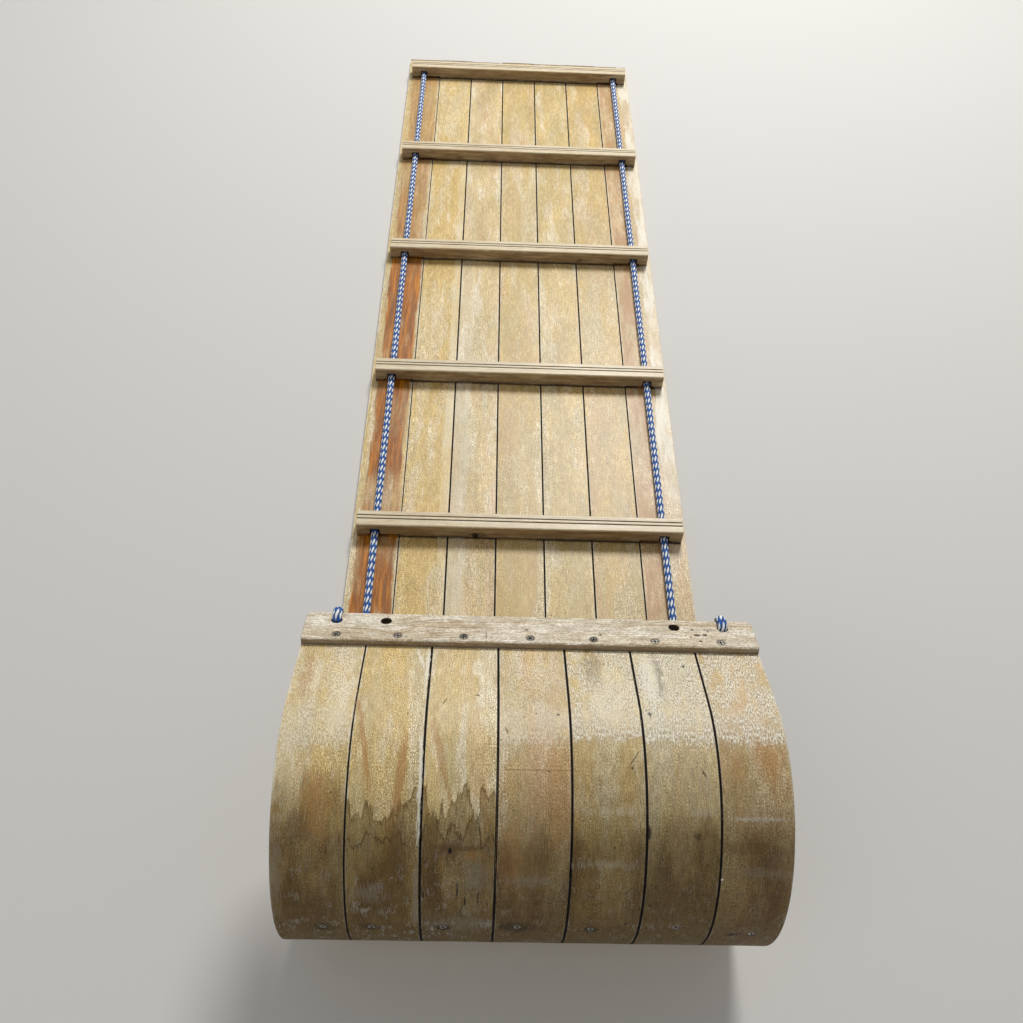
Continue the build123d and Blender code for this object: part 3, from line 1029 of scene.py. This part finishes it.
barLook = {
    "grooves": (10.0, 15.0),   # from the front face to the middle of each groove, in mm
    "grooveHalf": 0.65,
    "top": 21.0,
    "archAt": (slats["count"] - 1) / 2 * slats["pitch"] * 1000,
    "archHalf": 6.1,
    "archTop": 12.8,
    "apart": 3000.0,           # each bar's grain is taken this much further along
    "marks": [mark("umber", 0.45, (5, 5948), (6, 14), ragged=0.8),
              mark("grimeAndShade", 1.0, (4.5, 5946), (4.4, 3.6), broken=0.1, soft=0.3),
              mark("grimeAndShade", 0.9, (8.6, 5951), (1, 1.4), broken=0.2),
              mark("grimeAndShade", 0.9, (6, 5956), (0.9, 3), broken=0.2),
              mark("grimeAndShade", 0.9, (6.5, 5940), (0.8, 2.4), broken=0.2),
              mark("umber", 0.5, (6, 6118), (2, 5), ragged=0.6),
              mark("grimeAndShade", 0.6, (6.5, 12092), (3, 4), ragged=0.7),
              mark("umber", 0.6, (5, 14900), (3, 6), ragged=0.7)],
}


def barMaterial():
    material, tree, shader = newMaterial("barWood", {"Specular IOR Level": 0.35, "Coat Roughness": 0.32})
    place = boardPlace(tree)
    board = across, along, depth = splitVector(tree, place)
    grain = useGroup(tree, woodGrain, {"Board": place, "Seed": 50.0, "Ring Spacing": 2.3, "Heart": 75.0})
    fleck, fibre, blot = (grain[part] - 0.5 for part in ("Fleck", "Fibre", "Blot"))
    tones = (grain["Streak"] * 0.5 + grain["Figure"] * 0.3 + grain["Cloud"] * 0.25).between(0.0, 1.0)
    paint = Paint(tree, blend(tree, tones, (226, 207, 168), (192, 158, 108)))
    paint.shade(fleck * 0.3 + fibre * 0.3 + blot * 0.22)

    # the top is rubbed pale; the faces below it are painted darker as shade, and darker still near the deck,
    # for dirt and painted shade
    rubbed = depth.ramp(barLook["top"] - 3.0, barLook["top"] - 0.5)
    wear = grainNoise(board, 5.0, 60.0, 61.0, 4.0, 0.6).ramp(0.4, 0.62)
    paint.over(rubbed * (wear * 0.4 + 0.25), "bleached")
    sides = (barLook["top"] - 1.0 - depth).ramp(0.0, 1.4)
    sideDirtAndShade = grainNoise(board, 6.0, 45.0, 65.0, 4.0, 0.6).ramp(0.3, 0.65)
    paint.over(sides * (sideDirtAndShade * 0.4 + 0.42), (116, 84, 44))
    low = (grainNoise(board, 7.0, 12.0, 69.0, 3.0) * 7.0 - depth).ramp(-0.5, 2.5)
    paint.over(low * 0.55, "grimeAndShade")

    # the two grooves and the rope's arches are painted dark, for dirt and for the shade in them
    first, second = ((barLook["grooveHalf"] + 0.2 - (across - middle).abs()).ramp(0.0, 0.25)
                     for middle in barLook["grooves"])
    below = (barLook["top"] - 0.15 - depth).ramp(0.0, 0.6)
    paint.over((first + second) * below * depth.ramp(15.0, 16.0) * 0.93, "grimeAndShade")
    x = along - (along / barLook["apart"]).math("ROUND") * barLook["apart"]
    archDirtAndShadow = ((x.abs() - barLook["archAt"]).abs() - barLook["archHalf"]).ramp(0.2, 0.0)
    archDirtAndShadow = archDirtAndShadow * depth.ramp(barLook["archTop"] + 0.3, barLook["archTop"])
    paint.over(archDirtAndShadow * 0.93, (26, 18, 11))
    addMarks(paint, joinVector(tree, depth, along, across), barLook["marks"], (0.6 - across).ramp(0.0, 0.5))
    outputs = {"Base Color": paint.colour,
               "Roughness": grain["Fleck"] * 0.12 + low * 0.2 + sideDirtAndShade * 0.1 + 0.4,
               "Coat Weight": (0.4 - low * 0.4 - wear * rubbed * 0.25).between(0.0, 1.0)}
    finishShader(shader, outputs, grain["Fibre"] * 0.5 + grain["Streak"] * 0.4 - low * 0.2, 0.0003, 0.6)
    return material


barWood = barMaterial()
for number in range(1, bars["count"] + 1):
    front = bars["firstFront"] + (number - 1) * bars["spacing"]
    bar = easedCopy(f"deckBar{number}", f"crossbar_{number}", easing["bar"],
                    lambda place: (place.y - front, place.x + number * barLook["apart"] / 1000,
                                   place.z - slats["thickness"]))
    bar.data.materials.append(barWood)
    finishPiece(bar, "bar_wood", f"crossbar_{number}")

cleatLow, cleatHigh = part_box("front_cleat")
cleat = easedCopy("noseCleat", "front_cleat", easing["cleat"],
                  lambda place: (place.z - cleatLow.z, place.x + 40.0, place.y - cleatLow.y))
cleat.data.materials.append(barWood)
finishPiece(cleat, "bar_wood", "front_cleat")

# the nose batten lies on the sloping slat tips; its holes' place comes from the record
speck = {"ragged": 0.25, "soft": 0.3, "broken": 0.2}
grainLine = {"ragged": 0.15, "soft": 0.8, "broken": 0.15}
batten = {
    "thickness": 0.007,
    "tilt": slats["upperTurn"] - math.pi / 2,
    "screwBack": -0.021,       # from the line of the holes
    "screwsAt": (-0.172, -0.118, -0.060, -0.001, 0.055, 0.110, 0.169),
    "knotX": -122.0,           # the grain flows round a knot beside the left tow hole, in mm
    "knotReach": 24.0,
    "holesAt": (130.0, 174.3),
    "pepper": 0.6,
    "marks": [mark("grimeAndShade", 0.9, (-11.5, 149), (1.5, 2.4), **speck),
              mark("grimeAndShade", 0.9, (-10.8, 156.5), (1.2, 1.8), **speck),
              mark("grimeAndShade", 0.9, (-3.5, 146), (0.8, 1.2), **speck),
              mark("grimeAndShade", 0.9, (-20, 151), (1, 1.6), **speck),
              mark("grimeAndShade", 0.9, (-4.5, 160), (0.7, 1), **speck),
              mark("grimeAndShade", 0.9, (-14.5, 143), (0.6, 0.8), **speck),
              mark("grimeAndShade", 0.9, (-9, -4), (0.8, 1.2), **speck),
              mark("grimeAndShade", 0.9, (-14, 62), (0.9, 1.3), **speck),
              mark("umber", 0.75, (-8, -128), (0.5, 11), lean=0.1, **grainLine),
              mark("umber", 0.75, (-2.5, -108), (0.5, 10), lean=0.35, **grainLine),
              mark("umber", 0.75, (3, -82), (0.6, 18), lean=0.13, **grainLine),
              mark("umber", 0.8, (-20, -40), (9, 0.4), soft=0.6)],
}
battenUp = Vector((0.0, math.sin(batten["tilt"]), math.cos(batten["tilt"])))
battenBack = Vector((0.0, math.cos(batten["tilt"]), -math.sin(batten["tilt"])))
towHole = Vector(frame["record"]["mounts"][0]["pos_m"])
holeLine = Vector((0.0, towHole.y, towHole.z)) - battenUp * (batten["thickness"] / 2)


def onBatten(x, back, above):
    # back is measured from the line of the holes, above from the batten's underside
    return Vector((x, 0.0, 0.0)) + holeLine + battenBack * back + battenUp * above


def battenGauge(place):
    offset = place - holeLine
    return (offset.dot(battenBack), place.x, offset.dot(battenUp))


def battenScrewsGroup():
    # the row of screws from above, or with "Seats" the cones that cut their seats
    takes = {"Seats": False, "Material": "Material"}
    tree, given, result = newTree("battenScrews", "Geometry", takes, {"Geometry": "Geometry"})
    points = shape(tree, "JoinGeometry")
    for x in batten["screwsAt"]:
        at = onBatten(x, batten["screwBack"], batten["thickness"] - screws["sunk"])
        feed(points.inputs[0], shape(tree, "MeshLine", {"Count": 1, "Start Location": tuple(at)}))
    heads = scatterHeads(tree, points, 5)
    cutters = scatterSeats(tree, points, screws["sunk"] + screws["seatDrop"])
    chosen = shape(tree, "Switch", {"Switch": given["Seats"], "False": heads, "True": cutters},
                   input_type="GEOMETRY")
    upward = (math.pi - batten["tilt"], 0.0, 0.0)
    turned = shape(tree, "RotateInstances", {"Instances": chosen, "Rotation": upward})
    return closeTree(tree, result, turned, given["Material"])


def seatCutGroup(row):
    takes = {"Geometry": "Geometry"}
    tree, given, result = newTree("battenSeats", "Geometry", takes, {"Geometry": "Geometry"})
    cutters = useGroup(tree, row, {"Seats": True})["Geometry"]
    cut = shape(tree, "MeshBoolean", {"Mesh 1": given["Geometry"], "Mesh 2": cutters}, solver="EXACT")
    feed(result["Geometry"], cut)
    return tree


def battenMaterial():
    material, tree, shader = newMaterial("battenWood", {"Specular IOR Level": 0.35})
    place = boardPlace(tree)
    across, along, depth = splitVector(tree, place)
    fromKnot = (along - batten["knotX"]) / batten["knotReach"]
    around = (fromKnot * fromKnot * 2.0 + 1.0).math("POWER", -1.0) * 9.0
    board = (across + around, along, depth)
    squashed = joinVector(tree, across + around, along * 0.7, depth)
    grain = useGroup(tree, woodGrain, {"Board": squashed, "Seed": 73.0, "Ring Spacing": 5.2, "Heart": 34.0})
    fleck, fibre, blot = (grain[part] - 0.5 for part in ("Fleck", "Fibre", "Blot"))
    tones = (grain["Streak"] * 0.35 + grain["Figure"] * 0.2 + grain["Cloud"] * 0.5).between(0.0, 1.0)
    paint = Paint(tree, blend(tree, tones, (222, 209, 184), (194, 170, 134)))
    growthLine = grain["Figure"].ramp(0.9, 1.0) * grain["Cloud"].ramp(0.4, 0.7)
    paint.over(growthLine * 0.4, (146, 112, 76))
    silvered = (grainNoise(board, 9.0, 60.0, 77.0, 4.0, 0.64) + fibre * 0.12).ramp(0.47, 0.6)
    paint.over(silvered * 0.5, (232, 224, 206))
    pepper = grainNoise(board, 0.8, 1.4, 81.0, 2.0, 0.6).ramp(0.58, 0.68)
    toRight = along.ramp(-120.0, 120.0, 0.35, 1.0)
    paint.shade(fleck * 0.55 + fibre * 0.3 + blot * 0.4 - pepper * toRight * batten["pepper"])
    # the faces below the top are painted darker as shade, and the batten grows darker towards its underside
    sides = (batten["thickness"] * 1000 - 0.9 - depth).ramp(0.0, 1.0)
    paint.over(sides * 0.72, (122, 98, 66))
    low = (2.4 - depth + fleck * 2.0).ramp(0.0, 2.0)
    paint.over(low * 0.5, "grimeAndShade")
    for x in batten["screwsAt"]:
        away = distance(tree, joinVector(tree, across - batten["screwBack"] * 1000, along - x * 1000, 0.0))
        paint.over((4.6 - away + grain["Fleck"] * 0.8).ramp(0.0, 1.2) * 0.6, (84, 64, 42))
    addMarks(paint, place, batten["marks"], depth.ramp(4.0, 6.0))
    # the tow holes' walls are painted dark, as the shade inside them
    for x in batten["holesAt"]:
        away = distance(tree, joinVector(tree, across, along.abs() - x, 0.0))
        paint.over(away.ramp(5.5, 5.15) * (6.6 - depth).ramp(0.0, 0.4) * 0.95, (46, 35, 25))
    outputs = {"Base Color": paint.colour, "Roughness": grain["Fleck"] * 0.15 + pepper * 0.1 + 0.55}
    height = grain["Fibre"] * 0.5 + grain["Fleck"] * 0.4 - growthLine * 0.4 - pepper * 0.5
    finishShader(shader, outputs, height, 0.0004, 0.7)
    return material


battenRow = battenScrewsGroup()
battenStrip = easedCopy("noseBatten", "nose_batten", easing["batten"], battenGauge, seatCutGroup(battenRow))
battenStrip.data.materials.clear()
battenStrip.data.materials.append(battenMaterial())
finishPiece(battenStrip, "batten_wood", "nose_batten")
finishPiece(grow("battenScrews", battenRow, {"Material": screwSteel}))


# Rope: one length, hitched under the batten at both sides, down to the deck, under every bar
# and across behind the last one

rope = {
    "radius": 0.0045,
    "x": (slats["count"] - 1) / 2 * slats["pitch"],
    "deckHeight": 0.0118,
    "frontY": bars["firstFront"] - 0.016,
    "rearY": bars["firstFront"] + (bars["count"] - 1) * bars["spacing"] + bars["width"] + 0.016,
    "lead": 0.034,             # from a corner to the points that hold its runs straight
    "overEdge": 0.0158,        # the tail's distance behind the holes
    "overTop": 0.0104,         # height of the turn over the batten's edge
    "pressed": 0.34,           # how much thinner the rope is where it is pulled over that edge
    "hitchTop": -0.029,
    "hitchRadius": 0.0096,
    "hitchPitch": 0.0092,
    "hitchTurns": 1.75,
    "turnPoints": 12,
    "round": 32,
    "step": 0.00145,
    "strands": 6,
    "lay": 0.0698,             # length in which a strand goes once round
    "relief": 0.0009,
    "phase": 0.0,              # turns the pattern so that a row of white flecks faces up
    "yarns": 4,                # yarns side by side in a strand
    "balance": 0.45,           # how far the upper strand stands over the lower one at a crossing
    "endLength": 0.004,
}


def nosePoints(side):
    # from the tail's end, round the standing part, over the batten's edge and down to the deck
    x = side * rope["x"]
    count = round(rope["hitchTurns"] * rope["turnPoints"])
    points = []
    for step in range(count, -1, -1):
        angle = step * 2 * math.pi / rope["turnPoints"]
        below = rope["hitchTop"] - step * rope["hitchPitch"] / rope["turnPoints"]
        points.append(onBatten(x + side * rope["hitchRadius"] * math.sin(angle),
                               rope["hitchRadius"] * math.cos(angle), below))
    points += [
        onBatten(x, 0.0130, -0.020),
        onBatten(x, rope["overEdge"], -0.008),
        onBatten(x, rope["overEdge"], rope["overTop"]),
        onBatten(x, 0.0, rope["overTop"]),
        onBatten(x, 0.0, 0.0),
        onBatten(x, 0.0, -0.062),
        Vector((x, rope["frontY"] + 0.0025, rope["deckHeight"] + rope["lead"])),
        Vector((x, rope["frontY"], rope["deckHeight"])),
        Vector((x, rope["frontY"] + rope["lead"], rope["deckHeight"])),
        Vector((x, rope["rearY"] - rope["lead"], rope["deckHeight"])),
        Vector((x, rope["rearY"], rope["deckHeight"])),
        Vector((x - side * rope["lead"], rope["rearY"], rope["deckHeight"])),
    ]
    return points


def ropeRoute():
    points = nosePoints(-1) + nosePoints(1)[::-1]
    curve = bpy.data.curves.new("ropeRoute", "CURVE")
    curve.dimensions = "3D"
    spline = curve.splines.new("NURBS")
    spline.points.add(len(points) - 1)
    for point, place in zip(spline.points, points):
        point.co = (*place, 1.0)
    spline.order_u = 3
    spline.use_endpoint_u = True
    spline.resolution_u = 12
    return bpy.data.objects.new("ropeRoute", curve)


def braid(tree, around, length, looks):
    # pale strands wind one way and blue ones the other, over and under each other;
    # around runs from 0 to 1, length is in metres
    turned = length / looks["lay"]
    palePlace = (around - turned + looks["phase"]) * looks["strands"]
    bluePlace = (around + turned + looks["phase"]) * looks["strands"]
    paleStrand = palePlace.math("ROUND")
    blueStrand = bluePlace.math("ROUND")
    paleOver = (paleStrand * math.pi).cos() * (bluePlace * math.pi).cos()
    blueOver = (blueStrand * math.pi).cos() * (palePlace * math.pi).cos()
    paleHeight = ((palePlace - paleStrand) * math.pi).cos() * (paleOver * looks["balance"] + 1.0)
    blueHeight = ((bluePlace - blueStrand) * math.pi).cos() * (blueOver * -looks["balance"] + 1.0)
    return paleHeight, blueHeight, palePlace, bluePlace


def ropeGroup():
    takes = {"Geometry": "Geometry", "Radius": rope["radius"], "Round": rope["round"], "Step": rope["step"],
             "Relief": rope["relief"], "End Length": rope["endLength"], "Turn Middle": "Vector",
             "Pressed": rope["pressed"], "Material": "Material"}
    tree, given, result = newTree("braidedRope", "Geometry", takes, {"Geometry": "Geometry"})
    radius = given["Radius"]
    path = shape(tree, "ResampleCurve", {"Curve": given["Geometry"], "Length": given["Step"]}, mode="LENGTH")
    track = shape(tree, "CaptureAttribute")
    track.capture_items.new("VECTOR", "Middle")
    track.capture_items.new("FLOAT", "Length")
    track.capture_items.new("FLOAT", "From End")
    length = Wire(shape(tree, "SplineParameter").outputs["Length"])
    whole = Wire(shape(tree, "SplineLength").outputs["Length"])
    feed(track.inputs["Geometry"], path)
    feed(track.inputs["Middle"], shape(tree, "InputPosition"))
    feed(track.inputs["Length"], length)
    feed(track.inputs["From End"], length.math("MINIMUM", whole - length))
    ring = shape(tree, "CurvePrimitiveCircle", {"Resolution": given["Round"], "Radius": given["Radius"]})
    seam = shape(tree, "CaptureAttribute")
    seam.capture_items.new("FLOAT", "Around")
    feed(seam.inputs["Geometry"], ring)
    feed(seam.inputs["Around"], shape(tree, "SplineParameter").outputs["Factor"])
    tube = shape(tree, "CurveToMesh", {
        "Curve": track.outputs["Geometry"], "Profile Curve": seam.outputs["Geometry"], "Fill Caps": True})

    # the strands stand out from the tube, and its ends are melted round
    around = Wire(seam.outputs["Around"])
    paleHeight, blueHeight, *places = braid(tree, around, Wire(track.outputs["Length"]), rope)
    height = paleHeight.math("MAXIMUM", blueHeight) / (1.0 + rope["balance"])
    short = 1.0 - (Wire(track.outputs["From End"]) / given["End Length"]).between(0.0, 1.0)
    rounded = (1.0 - short * short).math("MAXIMUM", 0.02).math("SQRT")
    outward = vectorMath(tree, "SUBTRACT", shape(tree, "InputPosition"), track.outputs["Middle"])
    size = (radius - given["Relief"] * (1.0 - height)) / radius * rounded

    # it is pressed thin in its tight turn over the batten's edge
    reach = vectorMath(tree, "SUBTRACT", track.outputs["Middle"], given["Turn Middle"])
    inPlane = vectorMath(tree, "MULTIPLY", reach, (0.0, 1.0, 1.0))
    thick = 1.0 - distance(tree, inPlane).ramp(0.016, 0.007) * given["Pressed"]
    flattened = vectorMath(tree, "MULTIPLY", outward, joinVector(tree, 1.0, thick, thick))
    moved = put(tree, "ShaderNodeVectorMath", {0: flattened, "Scale": size}, operation="SCALE")
    place = vectorMath(tree, "ADD", track.outputs["Middle"], moved)
    strands = shape(tree, "SetPosition", {"Geometry": tube, "Position": place})

    # the seam's own corners count as a whole turn, so the pattern closes on itself
    faceAverage = shape(tree, "FieldOnDomain", {0: around}, domain="FACE", data_type="FLOAT")
    closing = (Wire(faceAverage.outputs[0]) - around).math("GREATER_THAN", 0.25)
    unrolled = joinVector(tree, around + closing, track.outputs["Length"], 0.0)
    mapped = keep(tree, strands, "braid", unrolled, "FLOAT2", "CORNER")
    ended = keep(tree, mapped, "fromEnd", track.outputs["From End"], "FLOAT")
    smooth = shape(tree, "SetShadeSmooth", {"Geometry": ended})
    return closeTree(tree, result, smooth, given["Material"])


def ropeBraidMaterial():
    material, tree, shader = newMaterial("ropeBraid", {"Sheen Weight": 0.08, "Sheen Roughness": 0.4})
    unrolled = put(tree, "ShaderNodeUVMap", uv_map="braid").outputs[0]
    around, length, flat = splitVector(tree, unrolled)
    paleHeight, blueHeight, palePlace, bluePlace = braid(tree, around, length, rope)
    pale = (paleHeight - blueHeight).ramp(0.16, 0.36)
    # the yarns of a strand lie side by side along it
    paleYarn = (palePlace * (rope["yarns"] * 2 * math.pi)).cos() * 0.5 + 0.5
    blueYarn = (bluePlace * (rope["yarns"] * 2 * math.pi)).cos() * 0.5 + 0.5
    place = put(tree, "ShaderNodeTexCoord").outputs["Object"]
    dirt = noise(tree, place, scale=24.0, detail=4.0, roughness=0.6).ramp(0.45, 0.7)
    fuzz = noise(tree, place, scale=1900.0, detail=2.0)
    # the blue strands are painted darker where they sink between the pale ones, as shade in the crevices
    blue = blend(tree, blueHeight.ramp(0.5, 1.25), (2, 10, 30), (12, 88, 184))
    blue = blend(tree, blueYarn * 0.2, blue, (40, 122, 204))
    white = blend(tree, paleHeight.ramp(0.55, 1.05), (150, 186, 222), (252, 253, 253))
    white = blend(tree, (1.0 - paleYarn) * 0.12, white, (170, 182, 200))
    paint = Paint(tree, blend(tree, pale, blue, white))
    paint.over(dirt * 0.12, (96, 88, 76))
    fromEnd = Wire(put(tree, "ShaderNodeAttribute", attribute_name="fromEnd").outputs["Fac"])
    melted = (rope["endLength"] * 0.9 - fromEnd).ramp(0.0, rope["endLength"] * 0.4)
    paint.over(melted * 0.85, (30, 30, 44))
    outputs = {"Base Color": paint.colour, "Roughness": fuzz * 0.2 - melted * 0.3 + 0.62}
    yarnHeight = blend(tree, pale, blueYarn, paleYarn)
    finishShader(shader, outputs, yarnHeight * 0.7 + fuzz * 0.5, 0.00022, 0.7)
    return material


ropePiece = grow("braidedRope", ropeGroup(), {
    "Turn Middle": onBatten(0.0, rope["overEdge"] / 2, rope["overTop"]),
    "Material": ropeBraidMaterial()}, source=ropeRoute())
finishPiece(ropePiece, "braided_rope", "side_rope", "hitch_left", "hitch_right")


# Floor, light and camera

studio = {"floorSize": 8.0, "floorTone": (214, 211, 205), "worldStrength": 0.32}

floorShape = bmesh.new()
bmesh.ops.create_grid(floorShape, x_segments=1, y_segments=1, size=studio["floorSize"] / 2)
floorMesh = bpy.data.meshes.new("studioFloor")
floorShape.to_mesh(floorMesh)
floorShape.free()
floor = bpy.data.objects.new("studioFloor", floorMesh)
scene.collection.objects.link(floor)
floorPaint, floorTree, floorShader = newMaterial("floorPaint", {"Base Color": linear(studio["floorTone"])})
floorPlace = put(floorTree, "ShaderNodeTexCoord").outputs["Object"]
feed(floorShader.inputs["Roughness"], noise(floorTree, floorPlace, 6.0) * 0.1 + 0.75)
floorMesh.materials.append(floorPaint)

world = bpy.data.worlds.new("studioWorld")
world.use_nodes = True
world.node_tree.nodes["Background"].inputs["Color"].default_value = (0.95, 0.97, 1.0, 1.0)
world.node_tree.nodes["Background"].inputs["Strength"].default_value = studio["worldStrength"]
scene.world = world
scene.view_settings.view_transform = "Standard"

# place, aim, size and power of each lamp
lamps = {
    "keyLamp": {"place": (0.6, 2.1, 2.6), "aim": (0.0, 0.1, 0.0), "size": 1.0, "power": 91.0},
    "fillLamp": {"place": (-1.4, -2.2, 2.0), "aim": (0.0, -0.3, 0.1), "size": 2.4, "power": 9.0},
}

for name, lamp in lamps.items():
    light = bpy.data.lights.new(name, "AREA")
    light.shape = "DISK"
    light.size = lamp["size"]
    light.energy = lamp["power"]
    holder = bpy.data.objects.new(name, light)
    holder.location = lamp["place"]
    toward = Vector(lamp["aim"]) - Vector(lamp["place"])
    holder.rotation_euler = toward.to_track_quat("-Z", "Y").to_euler()
    scene.collection.objects.link(holder)

view = {"place": (-0.04674, -1.05678, 0.99621), "heading": -2.662, "down": 51.537, "roll": 3.601,
        "lens": 36.02}

camera = bpy.data.objects.new("photoCamera", bpy.data.cameras.new("photoCamera"))
turned = (Matrix.Rotation(math.radians(view["heading"]), 3, "Z")
          @ Matrix.Rotation(math.radians(90 - view["down"]), 3, "X")
          @ Matrix.Rotation(math.radians(view["roll"]), 3, "Z"))
camera.matrix_world = Matrix.Translation(view["place"]) @ turned.to_4x4()
camera.data.lens = view["lens"]
scene.collection.objects.link(camera)
scene.camera = camera
print("made the floor, the lamps and the camera")
